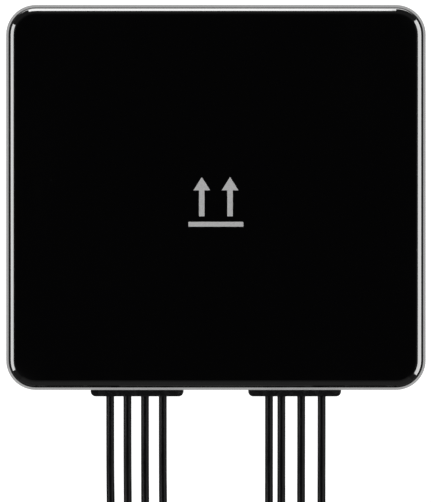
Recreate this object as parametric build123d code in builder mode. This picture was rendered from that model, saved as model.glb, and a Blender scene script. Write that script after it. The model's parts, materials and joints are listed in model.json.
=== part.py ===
from build123d import *
import os
from math import cos, pi, radians, sin, tan

# A low-profile stick-on combination antenna with eight coaxial leads.
# Frame: millimetres, the origin in the middle of the mounting face, +Z to the sky,
# +X to the right, and the leads leaving the housing towards -Y.

# ---- housing ----
WIDTH = 146.0
LENGTH = 134.0
HEIGHT = 20.0
CORNER = 10.5
DRAFT = 1.0
SHOULDER_LOW = 14.75
SHOULDER_TOP = 18.42
SHOULDER_LEAN = 14.0
EDGE_LEAN = 35.0
EDGE_ROUND = 2.7
WALL = 2.8
ROOF = 2.2
INNER_ROUND = 2.0

# ---- heights of the layers from the mounting face up ----
LINER = 0.15
PAD_TOP = 1.2
BASE_TOP = 3.4
PLATE_LOW = 8.6
PLATE_TOP = 9.4
BOARD_TOP = 10.2
PATCH_TOP = 14.2

# ---- adhesive pad and its liner ----
PAD_WIDTH = 122.0
PAD_LENGTH = 110.0
PAD_CORNER = 12.0
TAB_X = 40.0
TAB_WIDTH = 16.0
TAB_REACH = 6.0
TAB_CORNER = 3.0

# ---- base plate ----
BASE_INSET = 0.3
BASE_CHAMFER = 0.6
UPSTAND_GAP = 0.4
UPSTAND_WALL = 1.2
UPSTAND_TOP = 6.0
SEAL_WIDTH = 1.2
SEAL_DEPTH = 1.0
SEAL_INSET = 1.0
SEAL_GAP = 0.05
VENT = (18.0, 59.0)
VENT_HOLE_R = 1.0
MEMBRANE_R = 3.2
MEMBRANE = 0.2

# ---- screws ----
SCREW_R = 1.25
SCREW_GAP = 0.05
FLAT_HEAD_R = 2.5
PAN_HEAD_R = 2.3
PAN_HEAD = 1.5
SCREW_TIP = 0.3
HEAD_ROUND = 0.5
RECESS_SLOT = 0.5
RECESS_SPAN = 2.2
RECESS_DEPTH = 0.8
BOSS_R = 3.2
BOSS_RIB = 1.2
RIB_ABOVE = 1.0
SIDE_RIB_IN = 5.5
SIDE_RIB_SPAN = 7.0
END_RIB_IN = 6.5
END_RIB_SPAN = 9.0
COVER_SCREW_Y = 56.0
COVER_SCREW_AT = [(x, y) for x in (-62, 62) for y in (-COVER_SCREW_Y, COVER_SCREW_Y)]
COVER_SCREW_AT += [(-65, 0), (65, 0)]
COVER_SCREW_LENGTH = 9.0
PLATE_SCREW_AT = [(x, y) for x in (-31, 31) for y in (-25, 37)]
PLATE_POST_R = 3.0
PLATE_SCREW_LENGTH = 6.0

# ---- leads, glands and clamps ----
LEAD_R = 1.4
LEAD_GAP = 0.02
LEAD_Z = 6.2
LEFT_X = [-36.8, -30.8, -24.7, -18.5]
RIGHT_X = [18.5, 22.8, 29.7, 36.8]
GLAND_X = 27.4
GLAND_WIDTH = 32.3
GLAND_FACE = 69.2
GLAND_LOW = 2.4
GLAND_TOP = 9.4
GLAND_CORNER = 1.75
GLAND_EDGE = 0.4
OUTER_FLANGE = 4.0
INNER_FLANGE = 3.2
INNER_FLANGE_IN = 3.0
INNER_FLANGE_UP = 1.4
GLAND_BORE = 12.0
NOTCH_WIDTH = 28.0
NOTCH_TOP = 8.8
FIT = 0.05
CLAMP_WIDTH = 34.0
CLAMP_DEPTH = 5.0
CLAMP_CORNER = 1.0
CLAMP_Y = -57.0
CLAMP_TOP = 9.2
CLAMP_SCREW_OFFSET = 14.2
CLAMP_SCREW_LENGTH = 7.0

# ---- ground plate and satellite antenna ----
PLATE_SIDE = 70.0
PLATE_Y = 6.0
PLATE_CORNER = 4.0
WINDOW = 26.0
WINDOW_CORNER = 1.0
BOARD_SIDE = 40.0
PATCH_SIDE = 35.0
PATCH_CORNER = 0.8
ELECTRODE_SIDE = 29.0
ELECTRODE_TRIM = 2.5
ELECTRODE = 0.12
CAN_SIDE = 24.0
CAN_HEIGHT = 3.0
CAN_WALL = 0.3
CAN_CORNER = 0.8
FEED_OFFSET = 2.4
FEED_R = 0.45
FEED_HEAD_R = 1.2
FEED_HEAD = 0.6
FEED_HEAD_ROUND = 0.4

# ---- cellular elements ----
SHEET = 0.4
FIN_X = 66.0
FLANGE_X = 53.5
FOOT_X = 59.0
ELEMENT_LOW = 5.0
ELEMENT_TOP = 15.0
ELEMENT_LENGTH = 42.0
ELEMENT_Y = 27.0
FOOT_OFFSET = 14.0
FOOT_WIDTH = 8.0
FOOT_POST_X = 62.0
FOOT_POST_R = 2.6
FOOT_SCREW_LENGTH = 3.6
BEND_R = 1.0
FIN_LOW = 2.0
FOOT_FIN = 4.0
FEED_SLOT_Z = 9.5
FEED_SLOT_SHORT = 12.0
FEED_SLOT_WIDTH = 1.6
FLANGE_SLOT = 20.0
FLANGE_SLOT_WIDTH = 3.0
FLANGE_SLOT_SHIFT = 6.0
DRIVER_GAP = 0.4

# ---- upright circuit boards of the short-range radios ----
RADIO_X = [-36.0, 0.0, 36.0]
RADIO_Y = 58.0
RADIO_WIDTH = 26.0
RADIO_HEIGHT = 9.0
RADIO_BOARD = 1.0
RADIO_LOW = 5.0
RADIO_CORNER = 0.6
CLIP_OFFSET = 10.0
CLIP_AT = [(x + o, RADIO_Y) for x in RADIO_X for o in (-CLIP_OFFSET, CLIP_OFFSET)]
CLIP_WIDTH = 2.4
CLIP_DEPTH = 4.4
CLIP_GRIP = 3.0

# ---- coils of the leads' length, put away past the end of the straight runs ----
COIL_X = 45.0
COIL_Y = -176.0
TURN_R = 36.0
PITCH = 2.9
TURNS = 5.05
LAYERS = 8
TIE = 0.55
TIE_WIDTH = 9.0
TIE_GAP = 0.08
TIE_ANGLES = [80, 165, 250]
COIL_LOW = 0.6
TIE_ROUND = 1.0

# ---- plugs, by the distance behind the coupling nut's front face ----
PLUG_FRONT = -254.0
PLUG_Z = 4.75
PLUG_X = [-41.0, -30.0, -19.0, -8.0, 8.0, 19.0, 30.0, 41.0]
NUT_FLATS = 8.0
NUT_LENGTH = 6.5
NUT_CORNER_R = 4.7
NUT_FACE_R = 4.0
NUT_BEVEL = 0.4
THREAD_R = 2.83
THREAD_DEPTH = 4.2
THREAD_LEAD_IN = 0.35
RING_AT = 4.9
RING_R = 2.7
RING_WIDTH = 0.6
RING_THICK = 0.36
RING_GROOVE_R = 2.35
NUT_GROOVE_R = 3.15
NUT_GROOVE = 0.4
BODY_GROOVE = 0.25
NECK_R = 2.6
NUT_GAP = 0.08
FACE_AT = 3.0
BODY_BORE_R = 2.05
SHOULDER_R = 3.5
WAIST_R = 2.4
PIN_R = 0.45
PIN_AT = 0.7
PIN_TIP_R = 0.15
BORE_END = 9.6
INSULATOR_R = 2.03
INSULATOR_END = 8.8
STEM_END = 15.5
STEM_R = 2.1
SLEEVE_WALL = 0.35
SLEEVE_START = 10.2
SLEEVE_END = 21.0

BASE_LOW = PAD_TOP
CEILING = HEIGHT - ROOF
HALF_X = WIDTH / 2
HALF_Y = LENGTH / 2
COIL_HEIGHT = (LAYERS - 1) * PITCH + 2 * LEAD_R
COIL_OUTER = TURN_R + LEAD_R
COIL_INNER = TURN_R - TURNS * PITCH - LEAD_R

os.makedirs("parts", exist_ok=True)


def save(piece, name):
    """Name a finished piece and write its file."""
    piece.part.label = name
    export_step(piece.part, f"parts/{name}.step")


def at_bottom(spots, z):
    """Planes at these places that look down, for what goes in from below."""
    return [Plane((x, y, z), z_dir=(0, 0, -1)) for x, y in spots]


# ---- routes of the free leads, left leads 1 to 4 from the outside in ----
# Each run goes from the gland's face to its coil's outermost turn,
# and each tail from that coil to the plug's stem.
LEFT_RUNS = [
    [(-36.8, -69.2, 6.2), (-36.8, -82.0, 6.2), (-36.8, -100.0, 2.0), (-36.5, -117.0, 1.5),
     (-29.5, -133.0, 1.5), (-18.5, -146.0, 1.6), (-11.0, -160.5, 1.9), (-9.0, -176.0, 2.0)],
    [(-30.8, -69.2, 6.2), (-30.8, -82.0, 6.2), (-30.8, -100.0, 2.0), (-30.6, -117.0, 1.5),
     (-25.0, -133.0, 2.1), (-16.2, -146.5, 4.6), (-10.4, -161.0, 7.2), (-9.0, -176.0, 7.8)],
    [(-24.7, -69.2, 6.2), (-24.7, -82.0, 6.2), (-24.7, -100.0, 2.0), (-24.6, -117.0, 1.6),
     (-20.3, -133.0, 4.2), (-13.9, -147.0, 8.7), (-9.9, -161.0, 12.5), (-9.0, -176.0, 13.6)],
    [(-18.5, -69.2, 6.2), (-18.5, -82.0, 6.2), (-18.5, -100.0, 2.1), (-18.3, -116.0, 2.4),
     (-15.9, -131.5, 6.9), (-12.0, -146.5, 13.2), (-9.5, -161.0, 18.2), (-9.0, -176.0, 19.4)],
]
LEFT_TAILS = [
    [(-27.0, -207.2, 4.9), (-33.4, -211.2, 4.9), (-38.6, -217.9, 4.85), (-41.0, -228.0, 4.75),
     (-41.0, -238.5, 4.75)],
    [(-19.5, -201.5, 10.7), (-25.0, -207.4, 10.2), (-28.9, -216.0, 7.6), (-30.0, -227.6, 4.75),
     (-30.0, -238.5, 4.75)],
    [(-12.4, -191.2, 16.5), (-16.3, -200.4, 15.7), (-18.6, -212.6, 10.9), (-19.0, -226.6, 4.75),
     (-19.0, -238.5, 4.75)],
    [(-9.0, -176.0, 22.3), (-9.0, -190.0, 21.6), (-8.3, -206.5, 14.0), (-8.0, -224.5, 4.75),
     (-8.0, -238.5, 4.75)],
]
STRAIGHT_POINTS = 4


def mirrored(points, gland_x=None):
    """The same route on the other side, its first runs in line with the lead's own hole."""
    flipped = [(-x, y, z) for x, y, z in points]
    if gland_x is None:
        return flipped
    straight = [(gland_x, y, z) for x, y, z in flipped[:STRAIGHT_POINTS]]
    return straight + flipped[STRAIGHT_POINTS:]


RUNS = LEFT_RUNS + [mirrored(r, x) for r, x in zip(LEFT_RUNS[::-1], RIGHT_X)]
TAILS = LEFT_TAILS + [mirrored(t) for t in LEFT_TAILS[::-1]]


def arc_radii(points):
    """Largest tangent arc at each inner point, 0.45 of the shorter run over the half turn's tangent."""
    radii = []
    for before, here, after in zip(points, points[1:], points[2:]):
        first = Vector(*here) - Vector(*before)
        second = Vector(*after) - Vector(*here)
        half_turn = radians(first.get_angle(second)) / 2
        radii.append(0.45 * min(first.length, second.length) / tan(half_turn))
    return radii


def tube(points, radius):
    """Round tube along straight runs joined by tangent arcs."""
    with BuildPart() as made:
        with BuildLine() as route:
            FilletPolyline(*points, radius=arc_radii(points))
        with BuildSketch(Plane(origin=points[0], z_dir=route.line % 0)):
            Circle(radius)
        sweep()
    length = route.wire().length
    tightest = min(arc_radii(points))
    fill = made.part.volume / (pi * radius**2 * length)
    print(f"tube {length:.1f} long, tightest arc {tightest:.1f}, volume ratio {fill:.4f}")
    return made


def screw(head_r, head_height, length, countersunk):
    """Screw with its shank below z = 0, a head above it or sunk level with it, and a cross recess."""
    with BuildPart() as made:
        with BuildSketch(Plane.XY.offset(-length)):
            Circle(SCREW_R)
        extrude(amount=length)
        with BuildSketch():
            Circle(head_r)
        if countersunk:
            extrude(amount=-(head_r - SCREW_R), taper=45)
        else:
            extrude(amount=head_height)
            fillet(made.faces().sort_by(Axis.Z)[-1].edges(), HEAD_ROUND)
        with BuildSketch(Plane.XY.offset(head_height)):
            Rectangle(RECESS_SLOT, RECESS_SPAN)
            Rectangle(RECESS_SPAN, RECESS_SLOT)
        extrude(amount=-RECESS_DEPTH, mode=Mode.SUBTRACT)
    return made


# ---- mounting face ----
with BuildPart() as release_liner:
    with BuildSketch():
        RectangleRounded(PAD_WIDTH, PAD_LENGTH, PAD_CORNER)
        with Locations((TAB_X, PAD_LENGTH / 2)):
            RectangleRounded(TAB_WIDTH, 2 * TAB_REACH, TAB_CORNER)
    extrude(amount=LINER)
save(release_liner, "release_liner")

with BuildPart() as adhesive_pad:
    with BuildSketch(Plane.XY.offset(LINER)):
        RectangleRounded(PAD_WIDTH, PAD_LENGTH, PAD_CORNER)
    extrude(amount=PAD_TOP - LINER)
save(adhesive_pad, "adhesive_pad")

# ---- top cover: nearly upright walls, a leaning shoulder above them and a softly rounded top edge ----
COVER_STAGES = [
    (BASE_TOP, SHOULDER_LOW, DRAFT),
    (SHOULDER_LOW, SHOULDER_TOP, SHOULDER_LEAN),
    (SHOULDER_TOP, HEIGHT, EDGE_LEAN),
]
with BuildPart() as cavity:
    with BuildSketch(Plane.XY.offset(BASE_TOP)):
        RectangleRounded(WIDTH - 2 * WALL, LENGTH - 2 * WALL, CORNER - WALL)
    extrude(amount=CEILING - BASE_TOP, taper=DRAFT)
    fillet(cavity.faces().sort_by(Axis.Z)[-1].edges(), INNER_ROUND)

with BuildPart() as top_cover:
    inset = 0
    for low, high, lean in COVER_STAGES:
        with BuildSketch(Plane.XY.offset(low)):
            RectangleRounded(WIDTH - 2 * inset, LENGTH - 2 * inset, CORNER - inset)
        extrude(amount=high - low, taper=lean)
        inset += (high - low) * tan(radians(lean))
    fillet(top_cover.faces().sort_by(Axis.Z)[-1].edges(), EDGE_ROUND)
    add(cavity.part, mode=Mode.SUBTRACT)
    # Screw bosses, and the ribs that tie them to the side walls above the upstand.
    with BuildSketch(Plane.XY.offset(BASE_TOP)):
        with Locations(*COVER_SCREW_AT):
            Circle(BOSS_R)
    extrude(amount=CEILING - BASE_TOP)
    with BuildSketch(Plane.XY.offset(UPSTAND_TOP + RIB_ABOVE)):
        with Locations(*[(side * (HALF_X - SIDE_RIB_IN), 0) for side in (-1, 1)]):
            Rectangle(SIDE_RIB_SPAN, BOSS_RIB)
        with Locations(*[(side * (HALF_X - END_RIB_IN), end * COVER_SCREW_Y)
                         for side in (-1, 1) for end in (-1, 1)]):
            Rectangle(END_RIB_SPAN, BOSS_RIB)
    extrude(amount=CEILING - UPSTAND_TOP - 3 * RIB_ABOVE)
    with BuildSketch(Plane.XY.offset(BASE_TOP)):
        with Locations(*COVER_SCREW_AT):
            Circle(SCREW_R + SCREW_GAP)
    extrude(amount=COVER_SCREW_LENGTH, mode=Mode.SUBTRACT)
    with BuildSketch(Plane.XY.offset(BASE_TOP)):
        with Locations((-GLAND_X, -HALF_Y), (GLAND_X, -HALF_Y)):
            Rectangle(NOTCH_WIDTH, 4 * WALL)
    extrude(amount=NOTCH_TOP - BASE_TOP, mode=Mode.SUBTRACT)
save(top_cover, "top_cover")

# ---- base plate ----
with BuildPart() as base_plate:
    with BuildSketch(Plane.XY.offset(BASE_LOW)):
        RectangleRounded(WIDTH - 2 * BASE_INSET, LENGTH - 2 * BASE_INSET, CORNER - BASE_INSET)
    extrude(amount=BASE_TOP - BASE_LOW)
    chamfer(base_plate.faces().sort_by(Axis.Z)[0].edges(), BASE_CHAMFER)
    up_in = WALL + UPSTAND_GAP
    # The upstand locates the cover, and is open where the two glands pass through the wall.
    with BuildSketch(Plane.XY.offset(BASE_TOP)):
        RectangleRounded(WIDTH - 2 * up_in, LENGTH - 2 * up_in, CORNER - up_in)
        up_in += UPSTAND_WALL
        RectangleRounded(WIDTH - 2 * up_in, LENGTH - 2 * up_in, CORNER - up_in, mode=Mode.SUBTRACT)
        with Locations((-GLAND_X, -HALF_Y), (GLAND_X, -HALF_Y)):
            Rectangle(GLAND_WIDTH + 1, 6 * WALL, mode=Mode.SUBTRACT)
    extrude(amount=UPSTAND_TOP - BASE_TOP)
    # Seal groove under the cover's wall.
    with BuildSketch(Plane.XY.offset(BASE_TOP)):
        seal_in = SEAL_INSET
        RectangleRounded(WIDTH - 2 * seal_in, LENGTH - 2 * seal_in, CORNER - seal_in)
        seal_in += SEAL_WIDTH
        RectangleRounded(WIDTH - 2 * seal_in, LENGTH - 2 * seal_in, CORNER - seal_in,
                         mode=Mode.SUBTRACT)
    extrude(amount=-SEAL_DEPTH, mode=Mode.SUBTRACT)
    # Posts for the ground plate and for the feet of the cellular elements.
    with BuildSketch(Plane.XY.offset(BASE_TOP)):
        with Locations(*PLATE_SCREW_AT):
            Circle(PLATE_POST_R)
    extrude(amount=PLATE_LOW - BASE_TOP)
    foot_posts = [
        (side * FOOT_POST_X, end * ELEMENT_Y + offset)
        for side in (-1, 1) for end in (-1, 1) for offset in (-FOOT_OFFSET, FOOT_OFFSET)
    ]
    with BuildSketch(Plane.XY.offset(BASE_TOP)):
        with Locations(*foot_posts):
            Circle(FOOT_POST_R)
    extrude(amount=ELEMENT_LOW - BASE_TOP)
    # Saddles under the lead clamps.
    with BuildSketch(Plane.XY.offset(BASE_TOP)):
        with Locations((-GLAND_X, CLAMP_Y), (GLAND_X, CLAMP_Y)):
            Rectangle(CLAMP_WIDTH, CLAMP_DEPTH)
    extrude(amount=LEAD_Z - BASE_TOP)
    with BuildSketch(Plane.XZ.offset(-CLAMP_Y)):
        with Locations(*[(x, LEAD_Z) for x in LEFT_X + RIGHT_X]):
            Circle(LEAD_R + LEAD_GAP)
    extrude(amount=CLAMP_DEPTH, both=True, mode=Mode.SUBTRACT)
    # Slotted clips that hold the three upright boards.
    with BuildSketch(Plane.XY.offset(BASE_TOP)):
        with Locations(*CLIP_AT):
            Rectangle(CLIP_WIDTH, CLIP_DEPTH)
    extrude(amount=RADIO_LOW + CLIP_GRIP - BASE_TOP)
    with BuildSketch(Plane.XY.offset(RADIO_LOW)):
        with Locations(*CLIP_AT):
            Rectangle(CLIP_WIDTH + FIT, RADIO_BOARD + FIT)
    extrude(amount=CLIP_GRIP, mode=Mode.SUBTRACT)
    # Screw holes: through for the cover, blind for the rest.
    with Locations(*at_bottom(COVER_SCREW_AT, BASE_LOW)):
        CounterSinkHole(radius=SCREW_R + SCREW_GAP, counter_sink_radius=FLAT_HEAD_R + SCREW_GAP,
                        depth=BASE_TOP - BASE_LOW)
    with BuildSketch(Plane.XY.offset(PLATE_LOW)):
        with Locations(*PLATE_SCREW_AT):
            Circle(SCREW_R + SCREW_GAP)
    extrude(amount=-PLATE_SCREW_LENGTH + SCREW_TIP, mode=Mode.SUBTRACT)
    with BuildSketch(Plane.XY.offset(ELEMENT_LOW)):
        with Locations(*foot_posts):
            Circle(SCREW_R + SCREW_GAP)
    extrude(amount=-FOOT_SCREW_LENGTH + SCREW_TIP, mode=Mode.SUBTRACT)
    clamp_screws_at = [
        (middle + offset, CLAMP_Y)
        for middle in (-GLAND_X, GLAND_X) for offset in (-CLAMP_SCREW_OFFSET, CLAMP_SCREW_OFFSET)
    ]
    with BuildSketch(Plane.XY.offset(LEAD_Z)):
        with Locations(*clamp_screws_at):
            Circle(SCREW_R + SCREW_GAP)
    extrude(amount=-CLAMP_SCREW_LENGTH + CLAMP_TOP - LEAD_Z, mode=Mode.SUBTRACT)
    # Vent hole, outside the adhesive pad.
    with BuildSketch(Plane.XY.offset(BASE_LOW)):
        with Locations(VENT):
            Circle(VENT_HOLE_R)
    extrude(amount=BASE_TOP - BASE_LOW, mode=Mode.SUBTRACT)
save(base_plate, "base_plate")

# ---- seal and vent ----
with BuildPart() as cover_seal:
    with BuildSketch(Plane.XY.offset(BASE_TOP - SEAL_DEPTH)):
        seal_in = SEAL_INSET + SEAL_GAP
        RectangleRounded(WIDTH - 2 * seal_in, LENGTH - 2 * seal_in, CORNER - seal_in)
        seal_in = SEAL_INSET + SEAL_WIDTH - SEAL_GAP
        RectangleRounded(WIDTH - 2 * seal_in, LENGTH - 2 * seal_in, CORNER - seal_in,
                         mode=Mode.SUBTRACT)
    extrude(amount=SEAL_DEPTH)
save(cover_seal, "cover_seal")

with BuildPart() as vent_membrane:
    with BuildSketch(Plane.XY.offset(BASE_TOP)):
        with Locations(VENT):
            Circle(MEMBRANE_R)
    extrude(amount=MEMBRANE)
save(vent_membrane, "vent_membrane")

flat_screw = screw(FLAT_HEAD_R, 0, COVER_SCREW_LENGTH, countersunk=True)
with BuildPart() as cover_screws:
    with Locations(*at_bottom(COVER_SCREW_AT, BASE_LOW)):
        add(flat_screw.part)
save(cover_screws, "cover_screws")

# ---- glands: a neck in the cover's notch between an outer and an inner flange ----
for name, middle, holes in (("left_gland", -GLAND_X, LEFT_X), ("right_gland", GLAND_X, RIGHT_X)):
    with BuildPart() as gland:
        with BuildSketch(Plane.XY.offset(GLAND_LOW)):
            with Locations((middle, -GLAND_FACE + OUTER_FLANGE / 2)):
                RectangleRounded(GLAND_WIDTH, OUTER_FLANGE, GLAND_CORNER)
        extrude(amount=GLAND_TOP - GLAND_LOW)
        front = gland.faces().sort_by(Axis.Y)[0]
        chamfer(front.edges(), GLAND_EDGE)
        with BuildSketch(Plane.XY.offset(BASE_TOP)):
            with Locations((middle, -HALF_Y + INNER_FLANGE_IN)):
                Rectangle(GLAND_WIDTH - 1, INNER_FLANGE)
        extrude(amount=NOTCH_TOP + INNER_FLANGE_UP - BASE_TOP)
        # The flanges close on the wall from both sides.
        add(top_cover.part, mode=Mode.SUBTRACT)
        add(base_plate.part, mode=Mode.SUBTRACT)
        add(cover_seal.part, mode=Mode.SUBTRACT)
        with BuildSketch(Plane.XZ.offset(GLAND_FACE)):
            with Locations(*[(x, LEAD_Z) for x in holes]):
                Circle(LEAD_R + LEAD_GAP)
        extrude(amount=-GLAND_BORE, mode=Mode.SUBTRACT)
    save(gland, name)

# ---- lead clamps ----
for name, middle, grooves in (
    ("left_lead_clamp", -GLAND_X, LEFT_X),
    ("right_lead_clamp", GLAND_X, RIGHT_X),
):
    with BuildPart() as clamp:
        with BuildSketch(Plane.XY.offset(LEAD_Z + FIT)):
            with Locations((middle, CLAMP_Y)):
                Rectangle(CLAMP_WIDTH, CLAMP_DEPTH)
        extrude(amount=CLAMP_TOP - LEAD_Z - FIT)
        fillet(clamp.edges().filter_by(Axis.Z), CLAMP_CORNER)
        with BuildSketch(Plane.XZ.offset(-CLAMP_Y)):
            with Locations(*[(x, LEAD_Z) for x in grooves]):
                Circle(LEAD_R + LEAD_GAP)
        extrude(amount=CLAMP_DEPTH, both=True, mode=Mode.SUBTRACT)
        with BuildSketch(Plane.XY.offset(CLAMP_TOP)):
            with Locations(*[(middle + o, CLAMP_Y) for o in (-CLAMP_SCREW_OFFSET, CLAMP_SCREW_OFFSET)]):
                Circle(SCREW_R + SCREW_GAP)
        extrude(amount=-CLAMP_TOP, mode=Mode.SUBTRACT)
    save(clamp, name)

clamp_screw = screw(PAN_HEAD_R, PAN_HEAD, CLAMP_SCREW_LENGTH - SCREW_TIP, countersunk=False)
with BuildPart() as clamp_screws:
    with Locations(*[(x, y, CLAMP_TOP) for x, y in clamp_screws_at]):
        add(clamp_screw.part)
save(clamp_screws, "clamp_screws")

# ---- ground plate and satellite antenna ----
with BuildPart() as ground_plate:
    with BuildSketch(Plane.XY.offset(PLATE_LOW)):
        with Locations((0, PLATE_Y)):
            plate_outline = Rectangle(PLATE_SIDE, PLATE_SIDE)
            chamfer(plate_outline.vertices(), PLATE_CORNER)
            RectangleRounded(WINDOW, WINDOW, WINDOW_CORNER, mode=Mode.SUBTRACT)
        with Locations(*PLATE_SCREW_AT):
            Circle(SCREW_R + SCREW_GAP, mode=Mode.SUBTRACT)
    extrude(amount=PLATE_TOP - PLATE_LOW)
save(ground_plate, "ground_plate")

plate_screw = screw(PAN_HEAD_R, PAN_HEAD, PLATE_SCREW_LENGTH, countersunk=False)
with BuildPart() as ground_plate_screws:
    with Locations(*[(x, y, PLATE_TOP) for x, y in PLATE_SCREW_AT]):
        add(plate_screw.part)
save(ground_plate_screws, "ground_plate_screws")

FEED_AT = (FEED_OFFSET, PLATE_Y)

with BuildPart() as gnss_board:
    with BuildSketch(Plane.XY.offset(PLATE_TOP)):
        with Locations((0, PLATE_Y)):
            RectangleRounded(BOARD_SIDE, BOARD_SIDE, WINDOW_CORNER)
        with Locations(FEED_AT):
            Circle(FEED_R + SCREW_GAP, mode=Mode.SUBTRACT)
    extrude(amount=BOARD_TOP - PLATE_TOP)
save(gnss_board, "gnss_board")

with BuildPart() as gnss_patch:
    with BuildSketch(Plane.XY.offset(BOARD_TOP)):
        with Locations((0, PLATE_Y)):
            RectangleRounded(PATCH_SIDE, PATCH_SIDE, PATCH_CORNER)
        with Locations(FEED_AT):
            Circle(FEED_R + SCREW_GAP, mode=Mode.SUBTRACT)
    extrude(amount=PATCH_TOP - BOARD_TOP)
save(gnss_patch, "gnss_patch")

with BuildPart() as patch_electrode:
    with BuildSketch(Plane.XY.offset(PATCH_TOP)):
        with Locations((0, PLATE_Y)):
            silvered = Rectangle(ELECTRODE_SIDE, ELECTRODE_SIDE)
            trimmed = silvered.vertices().sort_by(Axis((0, 0, 0), (1, 1, 0)))
            chamfer([trimmed[0], trimmed[-1]], ELECTRODE_TRIM)
        with Locations(FEED_AT):
            Circle(FEED_R + SCREW_GAP, mode=Mode.SUBTRACT)
    extrude(amount=ELECTRODE)
save(patch_electrode, "patch_electrode")

with BuildPart() as patch_feed_pin:
    with BuildSketch(Plane.XY.offset(PLATE_TOP)):
        with Locations(FEED_AT):
            Circle(FEED_R)
    extrude(amount=PATCH_TOP + ELECTRODE - PLATE_TOP)
    with BuildSketch(Plane.XY.offset(PATCH_TOP + ELECTRODE)):
        with Locations(FEED_AT):
            Circle(FEED_HEAD_R)
    extrude(amount=FEED_HEAD)
    fillet(patch_feed_pin.faces().sort_by(Axis.Z)[-1].edges(), FEED_HEAD_ROUND)
save(patch_feed_pin, "patch_feed_pin")

with BuildPart() as gnss_shield_can:
    with BuildSketch(Plane.XY.offset(PLATE_TOP - CAN_HEIGHT)):
        with Locations((0, PLATE_Y)):
            RectangleRounded(CAN_SIDE, CAN_SIDE, CAN_CORNER)
    extrude(amount=CAN_HEIGHT)
    can_rim = gnss_shield_can.faces().sort_by(Axis.Z)[-1]
    offset(amount=-CAN_WALL, openings=can_rim)
save(gnss_shield_can, "gnss_shield_can")

# ---- cellular elements: bent sheet with an upright fin, a top flange and two feet ----
ELEMENTS = [(-1, -1), (-1, 1), (1, 1), (1, -1)]
for number, (side, end) in enumerate(ELEMENTS, start=1):
    middle = end * ELEMENT_Y
    low = ELEMENT_LOW + SHEET / 2
    high = ELEMENT_TOP - SHEET / 2
    with BuildPart() as cell_element:
        with BuildSketch(Plane.XZ.offset(-middle)):
            with BuildLine():
                FilletPolyline((side * FIN_X, low + FIN_LOW), (side * FIN_X, high),
                               (side * FLANGE_X, high), radius=[BEND_R])
            trace(line_width=SHEET)
        extrude(amount=ELEMENT_LENGTH / 2, both=True)
        for offset_y in (-FOOT_OFFSET, FOOT_OFFSET):
            with BuildSketch(Plane.XZ.offset(-middle - offset_y)):
                with BuildLine():
                    FilletPolyline((side * FIN_X, low + FOOT_FIN), (side * FIN_X, low),
                                   (side * FOOT_X, low), radius=[BEND_R])
                trace(line_width=SHEET)
            extrude(amount=FOOT_WIDTH / 2, both=True)
        # Feed slot up the fin, a window in the flange and the screws' holes.
        with BuildSketch(Plane.YZ.offset(side * FIN_X)):
            with Locations((middle, FEED_SLOT_Z)):
                SlotOverall(ELEMENT_LENGTH - FEED_SLOT_SHORT, FEED_SLOT_WIDTH)
        extrude(amount=1, both=True, mode=Mode.SUBTRACT)
        with BuildSketch(Plane.XY.offset(ELEMENT_TOP + 1)):
            with Locations((side * (FIN_X + FLANGE_X) / 2, middle + end * FLANGE_SLOT_SHIFT)):
                SlotOverall(FLANGE_SLOT, FLANGE_SLOT_WIDTH)
            with Locations(*[(side * FOOT_POST_X, middle + o) for o in (-FOOT_OFFSET, FOOT_OFFSET)]):
                Circle(PAN_HEAD_R + DRIVER_GAP)
        extrude(amount=-3, mode=Mode.SUBTRACT)
        with BuildSketch(Plane.XY.offset(ELEMENT_LOW)):
            with Locations(*[(side * FOOT_POST_X, middle + o) for o in (-FOOT_OFFSET, FOOT_OFFSET)]):
                Circle(SCREW_R + SCREW_GAP)
        extrude(amount=1, mode=Mode.SUBTRACT)
    save(cell_element, f"cell_element_{number}")

element_screw = screw(PAN_HEAD_R, PAN_HEAD, FOOT_SCREW_LENGTH, countersunk=False)
with BuildPart() as element_screws:
    with Locations(*[(x, y, ELEMENT_LOW + SHEET) for x, y in foot_posts]):
        add(element_screw.part)
save(element_screws, "element_screws")

# ---- upright boards ----
for number, x in enumerate(RADIO_X, start=1):
    with BuildPart() as wifi_board:
        with BuildSketch(Plane.XZ.offset(-RADIO_Y)):
            with Locations((x, RADIO_LOW + RADIO_HEIGHT / 2)):
                RectangleRounded(RADIO_WIDTH, RADIO_HEIGHT, RADIO_CORNER)
        extrude(amount=RADIO_BOARD / 2, both=True)
    save(wifi_board, f"wifi_board_{number}")

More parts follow.
